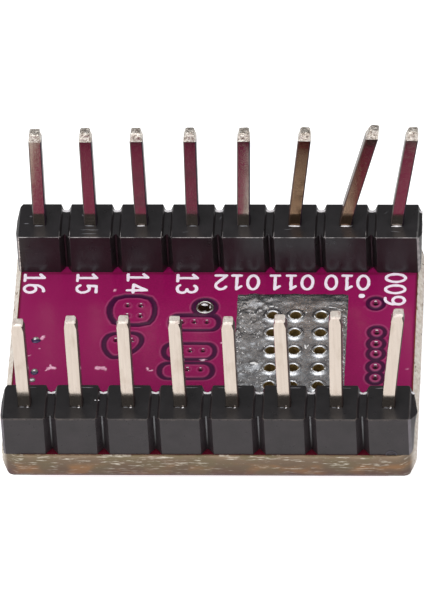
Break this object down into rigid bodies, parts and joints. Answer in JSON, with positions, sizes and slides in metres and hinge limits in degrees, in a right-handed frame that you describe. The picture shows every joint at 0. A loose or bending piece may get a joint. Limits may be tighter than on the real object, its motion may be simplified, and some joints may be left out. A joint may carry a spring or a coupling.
{
  "type": "stepper driver module",
  "caption": "Small plug-in circuit board with two black pin strips on one face and a driver chip, chip components and a current trimmer on the other.",
  "frame": {"origin": "centre of the board's pin-side face, in the middle between the two pin rows", "axes": "+Z along the pins, away from the board; +X along the pin rows; +Y towards the logic row"},
  "size_m": [0.0205, 0.0152, 0.0112],
  "materials": {
    "laminate": "satin",
    "copper": "satin",
    "solder_mask": "gloss",
    "tin": "satin",
    "solder": "gloss",
    "header_plastic": "satin",
    "pin_metal": "polished",
    "silicon": "gloss",
    "mould_compound": "matte",
    "alumina": "matte",
    "overcoat": "satin",
    "capacitor_ceramic": "satin",
    "carbon_track": "satin",
    "trimmer_metal": "satin",
    "spring_brass": "satin"
  },
  "bodies": {
    "board": {"pcb_laminate": "laminate", "copper_pin_side": "copper", "copper_component_side": "copper", "solder_mask_pin_side": "solder_mask", "solder_mask_component_side": "solder_mask", "header_hole_plating": "copper", "signal_via_plating": "copper", "thermal_via_plating": "tin", "test_via_plating": "tin", "solder_filled_vias": "tin", "heat_pad_tin": "tin", "header_housing_logic": "header_plastic", "header_housing_power": "header_plastic", "header_pins_logic": "pin_metal", "header_pins_power": "pin_metal", "header_solder_logic": "solder", "header_solder_power": "solder", "driver_ic_leads": "tin", "driver_ic_thermal_slug": "tin", "driver_ic_die": "silicon", "driver_ic_body": "mould_compound", "driver_ic_slug_solder": "solder", "driver_ic_lead_solder": "solder", "component_pads": "tin", "sense_resistor_bodies": "alumina", "sense_resistor_end_caps": "tin", "sense_resistor_overcoats": "overcoat", "supply_capacitor_bodies": "capacitor_ceramic", "supply_capacitor_end_caps": "tin", "small_capacitor_bodies": "capacitor_ceramic", "small_capacitor_end_caps": "tin", "chip_resistor_bodies": "alumina", "chip_resistor_end_caps": "tin", "chip_resistor_overcoats": "overcoat", "passive_solder_fillets": "solder", "trimmer_base": "alumina", "trimmer_resistive_track": "carbon_track", "trimmer_rivet": "trimmer_metal", "trimmer_terminals": "tin", "trimmer_solder_fillets": "solder"},
    "trimmer_rotor": {"trimmer_rotor": "trimmer_metal", "trimmer_wiper": "spring_brass"}
  },
  "joints": [
    {"name": "trimmer_turn", "type": "hinge", "parent": "board", "child": "trimmer_rotor", "pos_m": [-0.0075, 0, -0.0025], "axis": [0, 0, 1], "range_deg": [-120, 120]}
  ]
}
